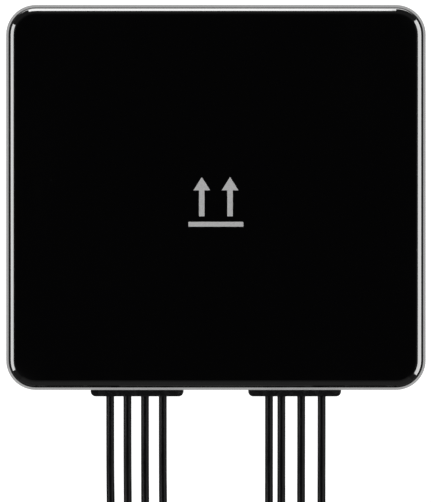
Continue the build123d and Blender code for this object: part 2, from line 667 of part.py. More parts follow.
# ---- leads inside the housing, from the gland's face to each radio part ----
END_GAP = 0.3
CAN_FACE = PLATE_Y - CAN_SIDE / 2 - END_GAP
BOARD_FACE = RADIO_Y - RADIO_BOARD / 2 - END_GAP
FIN_FACE = FIN_X - SHEET / 2 - END_GAP
INNER_ROUTES = [
    [(-36.8, -46.0), (-46.0, -35.0), (-55.0, -28.4), (-FIN_FACE, -27.0)],
    [(-30.8, -46.0), (-40.4, -35.0), (-46.6, -21.0), (-47.0, -2.0), (-48.6, 14.0), (-55.0, 24.6),
     (-FIN_FACE, 27.0)],
    [(-24.7, -46.0), (-34.4, -37.0), (-40.6, -24.0), (-41.0, -4.0), (-41.2, 18.0), (-40.0, 36.0),
     (-36.4, 46.0), (-36.0, BOARD_FACE)],
    [(-18.5, -46.0), (-16.4, -33.0), (-8.6, -22.0), (-6.0, -14.0), (-6.0, CAN_FACE)],
    [(18.5, -46.0), (25.5, -38.4), (35.0, -30.6), (38.2, -18.0), (38.4, 2.0), (38.2, 20.0),
     (37.6, 35.0), (31.5, 43.6), (20.0, 46.2), (8.0, 47.6), (1.2, 51.4), (0.0, BOARD_FACE)],
    [(22.8, -46.0), (30.0, -40.0), (39.6, -32.4), (42.8, -20.0), (43.0, 0.0), (42.8, 20.0),
     (41.4, 37.0), (36.8, 47.0), (36.0, BOARD_FACE)],
    [(29.7, -46.0), (38.6, -39.6), (46.4, -29.0), (48.6, -12.0), (48.8, 4.0), (50.8, 17.0),
     (56.8, 25.4), (FIN_FACE, 27.0)],
    [(36.8, -46.0), (46.0, -35.0), (55.0, -28.4), (FIN_FACE, -27.0)],
]
inner_tubes = [
    tube([(gland_x, -GLAND_FACE, LEAD_Z)] + [(x, y, LEAD_Z) for x, y in route], LEAD_R)
    for gland_x, route in zip(LEFT_X + RIGHT_X, INNER_ROUTES)
]
with BuildPart() as inner_leads:
    for inner_tube in inner_tubes:
        add(inner_tube.part)
save(inner_leads, "inner_leads")

# ---- free leads: each one's run to its coil and tail to its plug ----
for number, (run, tail) in enumerate(zip(RUNS, TAILS), start=1):
    run_tube = tube(run, LEAD_R)
    tail_tube = tube(tail, LEAD_R)
    with BuildPart() as lead:
        add(run_tube.part)
        add(tail_tube.part)
    save(lead, f"lead_{number}")

# ---- coils: one closed ring for the four leads of each side, and its straps ----
for side, name in ((-1, "left_coil"), (1, "right_coil")):
    with BuildPart() as coil:
        with BuildSketch(Plane.XY.offset(COIL_LOW)):
            with Locations((side * COIL_X, COIL_Y)):
                Circle(COIL_OUTER)
                Circle(COIL_INNER, mode=Mode.SUBTRACT)
        extrude(amount=COIL_HEIGHT)
    save(coil, name)

    strap_in = (COIL_INNER**2 - (TIE_WIDTH / 2) ** 2) ** 0.5 - TIE_GAP
    strap_out = COIL_OUTER + TIE_GAP
    with BuildPart() as coil_ties:
        for angle in TIE_ANGLES:
            turned = radians(angle)
            outward = Vector(-side * cos(turned), sin(turned), 0)
            middle = Vector(side * COIL_X, COIL_Y, TIE + COIL_HEIGHT / 2 + TIE_GAP / 2)
            section = Plane(origin=middle + outward * (strap_in + strap_out) / 2, x_dir=outward,
                            z_dir=outward.cross(Vector(0, 0, 1)))
            with BuildSketch(section):
                RectangleRounded(strap_out - strap_in + 2 * TIE, COIL_HEIGHT + TIE_GAP + 2 * TIE,
                                 TIE_ROUND)
                Rectangle(strap_out - strap_in, COIL_HEIGHT + TIE_GAP, mode=Mode.SUBTRACT)
            extrude(amount=TIE_WIDTH / 2, both=True)
    save(coil_ties, f"{name}_ties")

# ---- plugs, each drawn about +Z with its mating end at the top and z = 0 at the nut's front ----
with BuildPart() as plug_shape:
    with BuildSketch(Plane.XZ):
        with BuildLine():
            Polyline(
                (BODY_BORE_R, -FACE_AT), (2.3, -FACE_AT), (2.3, -3.8), (NECK_R, -4.0),
                (NECK_R, -RING_AT + BODY_GROOVE), (RING_GROOVE_R, -RING_AT + BODY_GROOVE),
                (RING_GROOVE_R, -RING_AT - BODY_GROOVE), (NECK_R, -RING_AT - BODY_GROOVE),
                (NECK_R, -6.7), (3.3, -6.7), (SHOULDER_R, -6.9), (SHOULDER_R, -7.8), (3.3, -8.0),
                (WAIST_R, -8.0), (WAIST_R, -9.4), (STEM_R, -9.6), (STEM_R, -STEM_END),
                (0, -STEM_END), (0, -BORE_END), (BODY_BORE_R, -BORE_END), close=True,
            )
        make_face()
    revolve(axis=Axis.Z)

with BuildPart() as nut_shape:
    with BuildSketch(Plane.XY.offset(-NUT_LENGTH)):
        RegularPolygon(NUT_FLATS / 2, 6, major_radius=False)
    extrude(amount=NUT_LENGTH)
    with BuildSketch(Plane.XZ):
        with BuildLine():
            Polyline(
                (THREAD_R + THREAD_LEAD_IN, 0), (NUT_FACE_R, 0), (NUT_CORNER_R, -NUT_BEVEL),
                (NUT_CORNER_R, -NUT_LENGTH + NUT_BEVEL), (NUT_FACE_R, -NUT_LENGTH),
                (NECK_R + NUT_GAP, -NUT_LENGTH), (NECK_R + NUT_GAP, -RING_AT - NUT_GROOVE),
                (NUT_GROOVE_R, -RING_AT - NUT_GROOVE), (NUT_GROOVE_R, -THREAD_DEPTH - 0.3),
                (THREAD_R, -THREAD_DEPTH), (THREAD_R, -THREAD_LEAD_IN), close=True,
            )
        make_face()
    revolve(axis=Axis.Z, mode=Mode.INTERSECT)

with BuildPart() as ring_shape:
    with BuildSketch(Plane.XZ):
        with Locations((RING_R, -RING_AT)):
            Rectangle(RING_WIDTH, RING_THICK)
    revolve(axis=Axis.Z)

with BuildPart() as pin_shape:
    with BuildSketch(Plane.XZ):
        with BuildLine():
            Polyline((0, -PIN_AT), (PIN_TIP_R, -PIN_AT), (PIN_R, -PIN_AT - 0.5), (PIN_R, -BORE_END),
                     (0, -BORE_END), close=True)
        make_face()
    revolve(axis=Axis.Z)

insulator_in = PIN_R + LEAD_GAP
with BuildPart() as insulator_shape:
    with BuildSketch(Plane.XZ):
        with Locations(((INSULATOR_R + insulator_in) / 2, -(FACE_AT + INSULATOR_END) / 2)):
            Rectangle(INSULATOR_R - insulator_in, INSULATOR_END - FACE_AT)
    revolve(axis=Axis.Z)

sleeve_in = STEM_R + LEAD_GAP
lead_in = LEAD_R + LEAD_GAP
with BuildPart() as sleeve_shape:
    with BuildSketch(Plane.XZ):
        with BuildLine():
            Polyline((sleeve_in, -SLEEVE_START), (sleeve_in + SLEEVE_WALL, -SLEEVE_START),
                     (sleeve_in + SLEEVE_WALL, -15.3), (lead_in + SLEEVE_WALL, -17.6),
                     (lead_in + SLEEVE_WALL, -SLEEVE_END), (lead_in, -SLEEVE_END), (lead_in, -17.2),
                     (sleeve_in, -15.6), close=True)
        make_face()
    revolve(axis=Axis.Z)

PLUG_PLANES = [Plane(origin=(x, PLUG_FRONT, PLUG_Z), x_dir=(0, 0, -1), z_dir=(0, -1, 0)) for x in PLUG_X]
for number, plug_plane in enumerate(PLUG_PLANES, start=1):
    with BuildPart() as plug_body:
        with Locations(plug_plane):
            add(plug_shape.part)
    save(plug_body, f"plug_body_{number}")

    with BuildPart() as coupling_nut:
        with Locations(plug_plane):
            add(nut_shape.part)
    save(coupling_nut, f"coupling_nut_{number}")

for name, shape in (
    ("retaining_rings", ring_shape),
    ("contact_pins", pin_shape),
    ("insulators", insulator_shape),
    ("lead_sleeves", sleeve_shape),
):
    with BuildPart() as group:
        with Locations(*PLUG_PLANES):
            add(shape.part)
    save(group, name)
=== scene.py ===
# Looks of a low-profile stick-on antenna with eight coaxial leads, in metres.
# +Z is up, +X to the right, and the leads leave the housing towards -Y.

import json
import math
import random

import bpy
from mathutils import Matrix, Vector


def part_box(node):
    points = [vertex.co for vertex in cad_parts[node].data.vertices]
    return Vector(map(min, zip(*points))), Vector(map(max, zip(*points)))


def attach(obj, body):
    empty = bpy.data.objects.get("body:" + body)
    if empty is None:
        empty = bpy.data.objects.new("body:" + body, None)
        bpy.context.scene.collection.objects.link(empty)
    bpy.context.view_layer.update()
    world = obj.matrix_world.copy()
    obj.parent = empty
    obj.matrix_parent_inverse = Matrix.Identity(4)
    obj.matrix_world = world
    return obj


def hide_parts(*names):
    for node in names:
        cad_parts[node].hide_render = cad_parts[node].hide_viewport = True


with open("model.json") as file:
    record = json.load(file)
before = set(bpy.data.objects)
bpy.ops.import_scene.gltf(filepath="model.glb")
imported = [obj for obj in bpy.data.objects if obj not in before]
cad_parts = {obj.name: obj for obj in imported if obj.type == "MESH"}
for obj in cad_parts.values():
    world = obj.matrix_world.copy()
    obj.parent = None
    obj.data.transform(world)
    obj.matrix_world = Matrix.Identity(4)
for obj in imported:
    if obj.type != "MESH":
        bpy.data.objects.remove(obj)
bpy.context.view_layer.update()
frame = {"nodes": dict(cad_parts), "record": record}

MM = 0.001
SIDES = (-1, 1)

# ---- leads, coils and plugs, as the CAD parts have them ----
LEAD_DIAMETER = 2.8 * MM
LEFT_RUNS = [
    [(-36.8, -69.2, 6.2), (-36.8, -82.0, 6.2), (-36.8, -100.0, 2.0), (-36.5, -117.0, 1.5),
     (-29.5, -133.0, 1.5), (-18.5, -146.0, 1.6), (-11.0, -160.5, 1.9), (-9.0, -176.0, 2.0)],
    [(-30.8, -69.2, 6.2), (-30.8, -82.0, 6.2), (-30.8, -100.0, 2.0), (-30.6, -117.0, 1.5),
     (-25.0, -133.0, 2.1), (-16.2, -146.5, 4.6), (-10.4, -161.0, 7.2), (-9.0, -176.0, 7.8)],
    [(-24.7, -69.2, 6.2), (-24.7, -82.0, 6.2), (-24.7, -100.0, 2.0), (-24.6, -117.0, 1.6),
     (-20.3, -133.0, 4.2), (-13.9, -147.0, 8.7), (-9.9, -161.0, 12.5), (-9.0, -176.0, 13.6)],
    [(-18.5, -69.2, 6.2), (-18.5, -82.0, 6.2), (-18.5, -100.0, 2.1), (-18.3, -116.0, 2.4),
     (-15.9, -131.5, 6.9), (-12.0, -146.5, 13.2), (-9.5, -161.0, 18.2), (-9.0, -176.0, 19.4)],
]
LEFT_TAILS = [
    [(-27.0, -207.2, 4.9), (-33.4, -211.2, 4.9), (-38.6, -217.9, 4.85), (-41.0, -228.0, 4.75),
     (-41.0, -238.5, 4.75)],
    [(-19.5, -201.5, 10.7), (-25.0, -207.4, 10.2), (-28.9, -216.0, 7.6), (-30.0, -227.6, 4.75),
     (-30.0, -238.5, 4.75)],
    [(-12.4, -191.2, 16.5), (-16.3, -200.4, 15.7), (-18.6, -212.6, 10.9), (-19.0, -226.6, 4.75),
     (-19.0, -238.5, 4.75)],
    [(-9.0, -176.0, 22.3), (-9.0, -190.0, 21.6), (-8.3, -206.5, 14.0), (-8.0, -224.5, 4.75),
     (-8.0, -238.5, 4.75)],
]
EXIT_DEGREES = [60, 45, 25, 0]
RIGHT_X = [18.5, 22.8, 29.7, 36.8]
STRAIGHT_POINTS = 4
COIL_X = 45.0
COIL_Y = -176.0
TURN_R = 36.0
PITCH = 2.9
WHOLE_TURNS = 5
POINTS_PER_TURN = 16
CLIMB_TURNS = 0.25
PLUG_FRONT = -254.0
PLUG_Z = 4.75
PLUG_X = [-41.0, -30.0, -19.0, -8.0, 8.0, 19.0, 30.0, 41.0]


# ---- materials: node helpers first, then one short function for each kind of surface ----
def link(tree, source, target):
    """Join two sockets."""
    tree.links.new(source, target)


def new_material(name, colour, roughness, metallic=0.0, ior=1.5, specular=0.5):
    """A material with its shader's plain values, and its tree to build on."""
    material = bpy.data.materials.new(name)
    material.use_nodes = True
    tree = material.node_tree
    shader = tree.nodes["Principled BSDF"]
    shader.inputs["Base Color"].default_value = (*colour, 1)
    shader.inputs["Roughness"].default_value = roughness
    shader.inputs["Metallic"].default_value = metallic
    shader.inputs["IOR"].default_value = ior
    shader.inputs["Specular IOR Level"].default_value = specular
    return material, tree, shader


def place(tree, stretch=(1, 1, 1)):
    """Position on the object in metres, stretched for brushed or extruded grain."""
    coordinates = tree.nodes.new("ShaderNodeTexCoord")
    mapping = tree.nodes.new("ShaderNodeMapping")
    mapping.inputs["Scale"].default_value = stretch
    link(tree, coordinates.outputs["Object"], mapping.inputs["Vector"])
    return mapping.outputs["Vector"]


def upward(tree, vector):
    """The vector's Z."""
    split = tree.nodes.new("ShaderNodeSeparateXYZ")
    link(tree, vector, split.inputs["Vector"])
    return split.outputs["Z"]


def noise(tree, vector, scale, detail=3.0, roughness=0.55):
    """Noise with features about 1 / scale metres across."""
    node = tree.nodes.new("ShaderNodeTexNoise")
    node.inputs["Scale"].default_value = scale
    node.inputs["Detail"].default_value = detail
    node.inputs["Roughness"].default_value = roughness
    link(tree, vector, node.inputs["Vector"])
    return node.outputs["Fac"]


def cells(tree, vector, scale, feature="F1"):
    """Distance to the nearest of scattered points, or to the line between two of them."""
    node = tree.nodes.new("ShaderNodeTexVoronoi")
    node.feature = feature
    node.inputs["Scale"].default_value = scale
    link(tree, vector, node.inputs["Vector"])
    return node.outputs["Distance"]


def waves(tree, vector, scale, direction="X", distortion=0.0):
    """Parallel waves along one axis."""
    node = tree.nodes.new("ShaderNodeTexWave")
    node.bands_direction = direction
    node.inputs["Scale"].default_value = scale
    node.inputs["Distortion"].default_value = distortion
    link(tree, vector, node.inputs["Vector"])
    return node.outputs["Fac"]


def spread(tree, value, low, high, to_low, to_high):
    """The value taken from one range to another, and held at its ends."""
    node = tree.nodes.new("ShaderNodeMapRange")
    node.inputs["From Min"].default_value = low
    node.inputs["From Max"].default_value = high
    node.inputs["To Min"].default_value = to_low
    node.inputs["To Max"].default_value = to_high
    link(tree, value, node.inputs["Value"])
    return node.outputs["Result"]


def blended(tree, factor, first, second):
    """Colour between two others by the factor, each a colour or a socket."""
    node = tree.nodes.new("ShaderNodeMix")
    node.data_type = "RGBA"
    link(tree, factor, node.inputs["Factor"])
    for index, colour in ((6, first), (7, second)):
        if isinstance(colour, tuple):
            node.inputs[index].default_value = (*colour, 1)
        else:
            link(tree, colour, node.inputs[index])
    return node.outputs[2]


def combined(tree, first, second, operation="ADD"):
    """Two values joined by one sum, product or comparison."""
    node = tree.nodes.new("ShaderNodeMath")
    node.operation = operation
    for socket, value in zip(node.inputs, (first, second)):
        if isinstance(value, (int, float)):
            socket.default_value = value
        else:
            link(tree, value, socket)
    return node.outputs["Value"]


def bumped(tree, shader, height, depth, strength=1.0, under=None):
    """Relief of this depth in metres on the shader's normal, over another relief if one is given."""
    node = tree.nodes.new("ShaderNodeBump")
    node.inputs["Strength"].default_value = strength
    node.inputs["Distance"].default_value = depth
    link(tree, height, node.inputs["Height"])
    if under is not None:
        link(tree, under, node.inputs["Normal"])
    link(tree, node.outputs["Normal"], shader.inputs["Normal"])
    return node.outputs["Normal"]


def worn_edges(tree, radius):
    """How far the surface near a point turns away from it: 0 on a flat, 1 at a sharp edge."""
    bevel = tree.nodes.new("ShaderNodeBevel")
    bevel.samples = 4
    bevel.inputs["Radius"].default_value = radius
    geometry = tree.nodes.new("ShaderNodeNewGeometry")
    product = tree.nodes.new("ShaderNodeVectorMath")
    product.operation = "DOT_PRODUCT"
    link(tree, bevel.outputs["Normal"], product.inputs[0])
    link(tree, geometry.outputs["Normal"], product.inputs[1])
    return spread(tree, product.outputs["Value"], 1.0, 0.8, 0.0, 1.0)


def glossy_cover():
    """Glossy moulded black with satin walls: orange peel, wiping marks, hairlines and a little dust."""
    material, tree, shader = new_material("cover_gloss", COVER_BLACK, 0.05)
    here = place(tree)
    polished = spread(tree, upward(tree, here), SATIN_TOP - SATIN_FADE, SATIN_TOP + SATIN_FADE, 0.0, 1.0)
    smears = noise(tree, place(tree, (1, 0.25, 1)), 45, 4, 0.6)
    dust = spread(tree, cells(tree, here, 420), 0.035, 0.06, 1.0, 0.0)
    sparse = spread(tree, noise(tree, here, 90, 2), 0.55, 0.62, 0.0, 1.0)
    specks = combined(tree, dust, sparse, "MULTIPLY")
    shine = spread(tree, smears, 0.45, 0.75, 0.035, 0.085)
    gloss = combined(tree, shine, combined(tree, specks, 0.25, "MULTIPLY"))
    satin = spread(tree, polished, 0, 1, SATIN_ROUGHNESS, 0)
    link(tree, combined(tree, gloss, satin), shader.inputs["Roughness"])
    link(tree, blended(tree, specks, COVER_BLACK, (0.004, 0.004, 0.0038)), shader.inputs["Base Color"])
    peel = bumped(tree, shader, noise(tree, here, 700, 2), 0.0000012)
    hairlines = cells(tree, place(tree, (1, 0.05, 1)), 60, "DISTANCE_TO_EDGE")
    hairs = spread(tree, hairlines, 0.0, 0.004, 0.0, 1.0)
    scratched = bumped(tree, shader, hairs, 0.0000004, under=peel)
    pitted = combined(tree, noise(tree, here, 3400, 3, 0.7), spread(tree, polished, 0, 1, 1, 0), "MULTIPLY")
    bumped(tree, shader, pitted, 0.00001, under=scratched)
    return material


def moulded(name, colour, roughness, grain, depth):
    """Spark-eroded moulded plastic: fine pits, and slight patches in shine and shade."""
    material, tree, shader = new_material(name, colour, roughness)
    here = place(tree)
    patches = noise(tree, here, 60, 4)
    light = tuple(min(1.0, channel * 1.5 + 0.002) for channel in colour)
    shade = blended(tree, spread(tree, patches, 0.4, 0.7, 0, 1), colour, light)
    shine = spread(tree, patches, 0.35, 0.7, roughness - 0.06, roughness + 0.08)
    link(tree, shade, shader.inputs["Base Color"])
    link(tree, shine, shader.inputs["Roughness"])
    bumped(tree, shader, noise(tree, here, grain, 3, 0.7), depth)
    return material


def soft_rubber(name, colour, roughness):
    """Satin moulded rubber: a soft skin, faint flow marks and a dusting of bloom."""
    material, tree, shader = new_material(name, colour, roughness, specular=0.12)
    here = place(tree)
    bloom = spread(tree, noise(tree, here, 220, 5, 0.65), 0.5, 0.75, 0, 1)
    pale = tuple(channel * 1.8 for channel in colour)
    link(tree, blended(tree, bloom, colour, pale), shader.inputs["Base Color"])
    link(tree, spread(tree, bloom, 0, 1, roughness - 0.08, roughness + 0.12), shader.inputs["Roughness"])
    skin = bumped(tree, shader, noise(tree, here, 5200, 2), 0.000012)
    bumped(tree, shader, noise(tree, place(tree, (1, 1, 4)), 500, 2), 0.00001, under=skin)
    return material


def foam():
    """Closed-cell foam: small cells all through, seen best on the cut edge."""
    material, tree, shader = new_material("foam", (0.035, 0.035, 0.038), 0.85, specular=0.2)
    here = place(tree)
    pores = cells(tree, here, 2600)
    fine = noise(tree, here, 3800, 4, 0.7)
    shade = blended(tree, spread(tree, pores, 0.1, 0.6, 0, 1), (0.016, 0.016, 0.018), (0.06, 0.06, 0.064))
    link(tree, shade, shader.inputs["Base Color"])
    link(tree, spread(tree, fine, 0.3, 0.7, 0.75, 0.95), shader.inputs["Roughness"])
    bumped(tree, shader, combined(tree, pores, fine), 0.00025, 0.7)
    return material


def liner_film():
    """Red release film: smooth, with shallow puckers and rubbed patches."""
    material, tree, shader = new_material("liner_film", (0.48, 0.03, 0.022), 0.22)
    here = place(tree)
    rubbed = noise(tree, place(tree, (1, 0.3, 1)), 55, 5, 0.65)
    link(tree, blended(tree, spread(tree, rubbed, 0.4, 0.75, 0, 1), (0.46, 0.028, 0.02), (0.58, 0.06, 0.045)),
         shader.inputs["Base Color"])
    link(tree, spread(tree, rubbed, 0.35, 0.7, 0.16, 0.34), shader.inputs["Roughness"])
    bumped(tree, shader, noise(tree, here, 70, 3), 0.00025, 0.5)
    return material


def metal(name, colour, roughness, tarnish, grain=(1, 1, 1), grain_scale=2600, wear=0.00025):
    """Plated or rolled metal: turning or rolling marks, tarnish in patches and bright worn edges.

    The marks are as deep as keeps their slope the same at every grain scale.
    """
    material, tree, shader = new_material(name, colour, roughness, metallic=1.0)
    here = place(tree)
    patches = spread(tree, noise(tree, here, 420, 5, 0.65), 0.45, 0.75, 0, 1)
    dulled = blended(tree, patches, colour, tarnish)
    bright = tuple(min(0.95, channel * 1.12 + 0.03) for channel in colour)
    link(tree, blended(tree, worn_edges(tree, wear), dulled, bright), shader.inputs["Base Color"])
    marks = noise(tree, place(tree, grain), grain_scale, 3, 0.6)
    shine = combined(tree, spread(tree, marks, 0.3, 0.7, -0.03, 0.04), spread(tree, patches, 0, 1, 0, 0.05))
    link(tree, combined(tree, shine, roughness), shader.inputs["Roughness"])
    bumped(tree, shader, marks, MARK_SLOPE / grain_scale)
    return material


def circuit_board():
    """Solder mask over copper: tracks show as a paler relief, with vias and a fine weave below."""
    material, tree, shader = new_material("circuit_board", (0.012, 0.1, 0.035), 0.3)
    here = place(tree)
    tracks = spread(tree, cells(tree, here, 260, "DISTANCE_TO_EDGE"), 0.05, 0.08, 1.0, 0.0)
    vias = spread(tree, cells(tree, here, 330), 0.09, 0.12, 1.0, 0.0)
    weave = combined(tree, waves(tree, here, 900, "X"), waves(tree, here, 900, "Y"), "MULTIPLY")
    mask = blended(tree, tracks, (0.008, 0.075, 0.026), (0.02, 0.15, 0.055))
    link(tree, blended(tree, vias, mask, (0.45, 0.34, 0.14)), shader.inputs["Base Color"])
    link(tree, spread(tree, weave, 0, 1, 0.24, 0.36), shader.inputs["Roughness"])
    relief = bumped(tree, shader, tracks, 0.00004)
    bumped(tree, shader, weave, 0.00001, under=relief)
    return material


def fired_ceramic():
    """Unglazed dielectric ceramic: dense grain with a few darker inclusions."""
    material, tree, shader = new_material("fired_ceramic", (0.6, 0.52, 0.4), 0.6)
    here = place(tree)
    grain = noise(tree, here, 3000, 5, 0.75)
    specks = spread(tree, cells(tree, here, 900), 0.05, 0.12, 1.0, 0.0)
    body = blended(tree, spread(tree, grain, 0.35, 0.65, 0, 1), (0.52, 0.44, 0.33), (0.68, 0.61, 0.49))
    link(tree, blended(tree, specks, body, (0.25, 0.2, 0.15)), shader.inputs["Base Color"])
    link(tree, spread(tree, grain, 0.3, 0.7, 0.5, 0.7), shader.inputs["Roughness"])
    bumped(tree, shader, grain, 0.00002)
    return material


def felted_film():
    """Breathable membrane: a felt of fine fibres."""
    material, tree, shader = new_material("felted_film", (0.8, 0.8, 0.78), 0.9, specular=0.2)
    fibres = noise(tree, place(tree, (1, 3, 1)), 4200, 5, 0.8)
    link(tree, blended(tree, fibres, (0.66, 0.66, 0.63), (0.88, 0.88, 0.86)), shader.inputs["Base Color"])
    bumped(tree, shader, fibres, 0.00003)
    return material


def lead_jacket():
    """Satin extruded jacket: fine lengthwise die lines, scuffs and a little chalky handling dust."""
    material, tree, shader = new_material("lead_jacket", (0.001, 0.001, 0.0011), 0.34, specular=0.03)
    here = place(tree)
    dust = spread(tree, noise(tree, here, 300, 5, 0.7), 0.5, 0.8, 0, 1)
    link(tree, blended(tree, dust, (0.0008, 0.0008, 0.0009), (0.0028, 0.0028, 0.0029)),
         shader.inputs["Base Color"])
    link(tree, spread(tree, dust, 0, 1, 0.34, 0.5), shader.inputs["Roughness"])
    skin = bumped(tree, shader, noise(tree, here, 3600, 3, 0.6), 0.000014)
    bumped(tree, shader, noise(tree, here, 420, 2), 0.00003, 0.4, under=skin)
    return material


def hook_and_loop():
    """Hook-and-loop tape: a nap of tangled loops over a close weave, with soft sheen."""
    material, tree, shader = new_material("hook_and_loop", (0.012, 0.012, 0.013), 0.9, specular=0.15)
    shader.inputs["Sheen Weight"].default_value = 0.25
    shader.inputs["Sheen Roughness"].default_value = 0.5
    here = place(tree)
    loops = noise(tree, here, 2600, 6, 0.85)
    curls = cells(tree, here, 1900)
    nap = combined(tree, loops, curls)
    shade = blended(tree, spread(tree, nap, 0.5, 1.2, 0, 1), (0.006, 0.006, 0.0065), (0.035, 0.035, 0.037))
    link(tree, shade, shader.inputs["Base Color"])
    bumped(tree, shader, nap, 0.0003, 0.8)
    return material


def turned_polymer():
    """Turned fluoropolymer: waxy white with faint tool rings."""
    material, tree, shader = new_material("turned_polymer", (0.82, 0.82, 0.79), 0.45)
    shader.inputs["Subsurface Weight"].default_value = 0.2
    shader.inputs["Subsurface Scale"].default_value = 0.0006
    rings = noise(tree, place(tree, (0.2, 4, 0.2)), 2600, 2)
    link(tree, blended(tree, rings, (0.76, 0.76, 0.72), (0.88, 0.88, 0.86)), shader.inputs["Base Color"])
    bumped(tree, shader, rings, 0.000012)
    return material


def shrunk_tube(name, colour):
    """Heat-shrunk tube: semi-matt with lengthwise draw lines and slight puckers."""
    material, tree, shader = new_material(name, colour, 0.42, specular=0.3)
    here = place(tree)
    drawn = noise(tree, place(tree, (1, 0.12, 1)), 1800, 3, 0.6)
    shade = tuple(channel * 0.75 for channel in colour)
    link(tree, blended(tree, drawn, shade, colour), shader.inputs["Base Color"])
    link(tree, spread(tree, noise(tree, here, 700, 4), 0.35, 0.7, 0.34, 0.52), shader.inputs["Roughness"])
    bumped(tree, shader, drawn, 0.00003, 0.7)
    return material


def pad_print():
    """Grey pad-printed ink: slightly uneven cover, soft at its rim."""
    material, tree, shader = new_material("pad_print", (0.34, 0.34, 0.34), 0.45)
    cover = noise(tree, place(tree), 1500, 5, 0.7)
    link(tree, blended(tree, spread(tree, cover, 0.35, 0.65, 0, 1), (0.29, 0.29, 0.29), (0.37, 0.37, 0.37)),
         shader.inputs["Base Color"])
    bumped(tree, shader, cover, 0.000004)
    return material


COVER_BLACK = (0.001, 0.001, 0.0011)
SATIN_TOP = 0.01842
SATIN_FADE = 0.0002
SATIN_ROUGHNESS = 0.13
MARK_SLOPE = 0.008
JACKET = lead_jacket()
TIE_TAPE = hook_and_loop()
FOAM = foam()
NICKEL = metal("nut_nickel", (0.6, 0.57, 0.52), 0.16, (0.55, 0.52, 0.465), (1, 0.3, 1), 7000)
SLOT_LOOKS = {
    "cover_plastic": glossy_cover(),
    "base_plastic": moulded("base_abs", (0.011, 0.011, 0.012), 0.5, 3200, 0.00004),
    "seal_rubber": soft_rubber("seal_rubber", (0.02, 0.02, 0.021), 0.6),
    "adhesive_foam": FOAM,
    "liner_film": liner_film(),
    "gland_rubber": soft_rubber("gland_rubber", (0.0025, 0.0025, 0.0027), 0.34),
    "vent_membrane": felted_film(),
    "screw_steel": metal("screw_steel", (0.56, 0.56, 0.54), 0.3, (0.4, 0.38, 0.34)),
    "clamp_plastic": moulded("clamp_nylon", (0.05, 0.05, 0.053), 0.6, 2600, 0.00005),
    "plate_aluminium": metal("rolled_aluminium", (0.74, 0.75, 0.76), 0.32, (0.62, 0.62, 0.62), (1, 0.04, 1)),
    "circuit_board": circuit_board(),
    "patch_ceramic": fired_ceramic(),
    "silver_plating": metal("fired_silver", (0.8, 0.77, 0.7), 0.38, (0.6, 0.55, 0.44)),
    "tinned_pin": metal("tinned_pin", (0.7, 0.69, 0.66), 0.25, (0.5, 0.5, 0.47)),
    "tinned_can": metal("tinned_sheet", (0.68, 0.68, 0.66), 0.22, (0.52, 0.52, 0.5), (1, 0.06, 1)),
    "element_sheet": metal("element_sheet", (0.72, 0.48, 0.24), 0.3, (0.46, 0.26, 0.12), (1, 0.08, 1)),
    "lead_jacket": JACKET,
    "tie_fabric": TIE_TAPE,
    "plug_gold": metal("plug_gold", (0.83, 0.6, 0.24), 0.18, (0.62, 0.42, 0.17), grain=(1, 0.15, 1)),
    "nut_nickel": NICKEL,
    "gold_contact": metal("gold_contact", (0.86, 0.64, 0.28), 0.15, (0.7, 0.5, 0.22)),
    "insulator_white": turned_polymer(),
    "shrink_sleeve": shrunk_tube("sleeve_black", (0.012, 0.012, 0.013)),
    "spring_bronze": metal("spring_bronze", (0.6, 0.4, 0.2), 0.3, (0.36, 0.24, 0.13)),
}


def paint_cad_nodes():
    """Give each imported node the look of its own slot, read from the record's sub-parts."""
    for part in frame["record"]["subparts"]:
        node = frame["nodes"].get(part.get("node") or part.get("name"))
        if node is None:
            continue
        node.data.materials.clear()
        node.data.materials.append(SLOT_LOOKS[part["material_slot"]])


# ---- free leads ----
def eased(share):
    """A soft step from 0 to 1."""
    share = min(1.0, max(0.0, share))
    return share * share * (3 - 2 * share)


def mirrored(points, gland_x=None):
    """The same route on the other side, its first runs in line with the lead's own hole."""
    flipped = [(-x, y, z) for x, y, z in points]
    if gland_x is None:
        return flipped
    straight = [(gland_x, y, z) for x, y, z in flipped[:STRAIGHT_POINTS]]
    return straight + flipped[STRAIGHT_POINTS:]


def coil_points(side, low_z, exit_degrees):
    """Turns from the outermost one in, up a layer at the inside, and out again to where the tail starts."""
    turns = 2 * WHOLE_TURNS + exit_degrees / 360
    steps = round(turns * POINTS_PER_TURN)
    half_step = math.pi * turns / steps
    reach = 1 / math.cos(half_step)
    points = []
    for step in range(steps):
        turn = (step + 0.5) * turns / steps
        if turn < WHOLE_TURNS:
            radius = TURN_R - PITCH * turn
        else:
            radius = TURN_R - PITCH * (turns - turn)
        climb = eased((turn - WHOLE_TURNS + CLIMB_TURNS) / (2 * CLIMB_TURNS))
        angle = -math.tau * turn
        points.append((
            side * (COIL_X - radius * reach * math.cos(angle)),
            COIL_Y + radius * reach * math.sin(angle),
            low_z + PITCH * climb,
        ))
    return points


def lead_curve(name, points):
    """One lead as a smooth round curve through its whole route."""
    curve = bpy.data.curves.new(name, "CURVE")
    curve.dimensions = "3D"
    curve.resolution_u = 5
    curve.bevel_resolution = 3
    curve.bevel_depth = LEAD_DIAMETER / 2
    curve.use_fill_caps = True
    spline = curve.splines.new("NURBS")
    spline.points.add(len(points) - 1)
    for control, (x, y, z) in zip(spline.points, points):
        control.co = (x * MM, y * MM, z * MM, 1)
    spline.order_u = 3
    spline.use_endpoint_u = True
    curve.materials.append(JACKET)
    lead = bpy.data.objects.new(name, curve)
    bpy.context.collection.objects.link(lead)
    return lead


